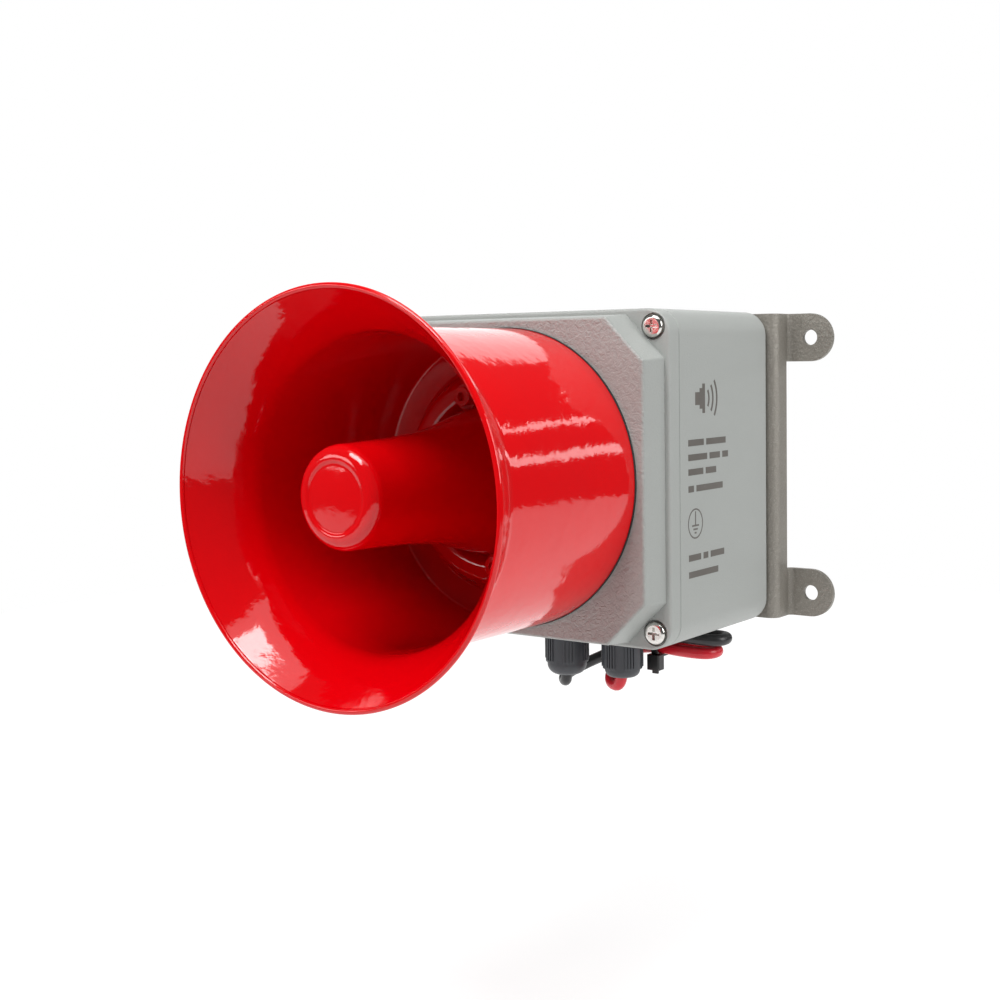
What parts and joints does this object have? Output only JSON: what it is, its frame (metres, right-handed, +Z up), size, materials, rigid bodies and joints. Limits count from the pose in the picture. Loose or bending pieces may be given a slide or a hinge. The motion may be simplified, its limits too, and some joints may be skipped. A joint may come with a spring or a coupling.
{
  "type": "alarm siren",
  "caption": "Wall-mounted alarm siren: re-entrant horn and driver on a sealed square enclosure, bent wall bracket, cable glands and tied leads.",
  "frame": {"origin": "middle of the wall bracket's four fixing holes, on the wall plane", "axes": "+Y into the wall, so the horn's mouth faces -Y; +Z up; +X to the right as seen from in front"},
  "size_m": [0.1626, 0.2, 0.1566],
  "materials": {
    "enclosure_paint": "light grey powder coat, fine grain",
    "horn_paint": "red gloss enamel",
    "bracket_paint": "warm grey hammertone",
    "stainless_steel": "bright",
    "plated_steel": "zinc plate, satin",
    "blackened_steel": "satin black",
    "driver_casting": "as cast and turned",
    "ferrite": "ground, dark",
    "laminated_steel": "varnished laminations",
    "diaphragm_film": "pressed resin-bonded sheet",
    "copper_wire": "enamelled copper",
    "board_laminate": "green solder mask",
    "winding_tape": "yellow polyester tape",
    "bobbin_plastic": "moulded nylon",
    "terminal_plastic": "moulded, green",
    "capacitor_sleeve": "printed shrink sleeve, dark blue",
    "fuse_glass": "clear",
    "gland_plastic": "moulded nylon, dark grey, slight sheen",
    "gasket_rubber": "matt black",
    "black_jacket": "flexible vinyl, satin black",
    "red_jacket": "flexible vinyl, satin red",
    "wire_insulation": "thin coloured insulation",
    "earth_insulation": "green and yellow insulation",
    "tie_nylon": "moulded nylon, black"
  },
  "bodies": {
    "housing": {"amplifier_chip": "bobbin_plastic", "black_lead": "black_jacket", "black_lead_cores": "wire_insulation", "black_lead_inside": "black_jacket", "board_screws": "plated_steel", "bracket_screws": "stainless_steel", "cable_tie": "tie_nylon", "chip_heatsink": "driver_casting", "circuit_board": "board_laminate", "diaphragm_surround": "diaphragm_film", "driver_back_plate": "plated_steel", "driver_cover": "blackened_steel", "driver_front": "driver_casting", "driver_gasket": "gasket_rubber", "driver_magnet": "ferrite", "driver_screws": "plated_steel", "driver_top_plate": "plated_steel", "driver_wires": "wire_insulation", "earth_lug": "copper_wire", "earth_nut": "stainless_steel", "earth_stud": "stainless_steel", "earth_wire": "earth_insulation", "enclosure_body": "enclosure_paint", "enclosure_lid": "enclosure_paint", "filter_capacitors": "capacitor_sleeve", "fuse_clips": "plated_steel", "horn_bell": "horn_paint", "horn_gasket": "gasket_rubber", "horn_reflector": "horn_paint", "horn_screws": "plated_steel", "left_gland_body": "gland_plastic", "left_gland_locknut": "gland_plastic", "left_gland_seal": "gasket_rubber", "left_gland_washer": "gasket_rubber", "lid_gasket": "gasket_rubber", "lid_screws": "stainless_steel", "m4_washers": "stainless_steel", "mains_fuse": "fuse_glass", "mains_wires": "wire_insulation", "red_lead": "red_jacket", "red_lead_cores": "wire_insulation", "red_lead_inside": "red_jacket", "reflector_screws": "plated_steel", "right_gland_body": "gland_plastic", "right_gland_locknut": "gland_plastic", "right_gland_seal": "gasket_rubber", "right_gland_washer": "gasket_rubber", "signal_wires": "wire_insulation", "terminal_blocks": "terminal_plastic", "terminal_screws": "plated_steel", "throat_tube": "horn_paint", "transformer_bobbin": "bobbin_plastic", "transformer_core": "laminated_steel", "transformer_winding": "winding_tape", "wall_bracket": "bracket_paint"},
    "diaphragm": {"diaphragm_dome": "diaphragm_film", "voice_coil_former": "diaphragm_film", "voice_coil": "copper_wire"},
    "left_cap": {"left_gland_cap": "gland_plastic"},
    "right_cap": {"right_gland_cap": "gland_plastic"}
  },
  "joints": [
    {"name": "diaphragm_stroke", "type": "slide", "parent": "housing", "child": "diaphragm", "axis": [0, 1, 0], "range_m": [-0.0004, 0.0004], "stiffness_N_per_m": 2000},
    {"name": "left_cap_turn", "type": "hinge", "parent": "housing", "child": "left_cap", "pos_m": [-0.013, -0.047, -0.066], "axis": [0, 0, 1], "range_deg": [0, 360]},
    {"name": "right_cap_turn", "type": "hinge", "parent": "housing", "child": "right_cap", "pos_m": [0.013, -0.047, -0.066], "axis": [0, 0, 1], "range_deg": [0, 360]}
  ]
}
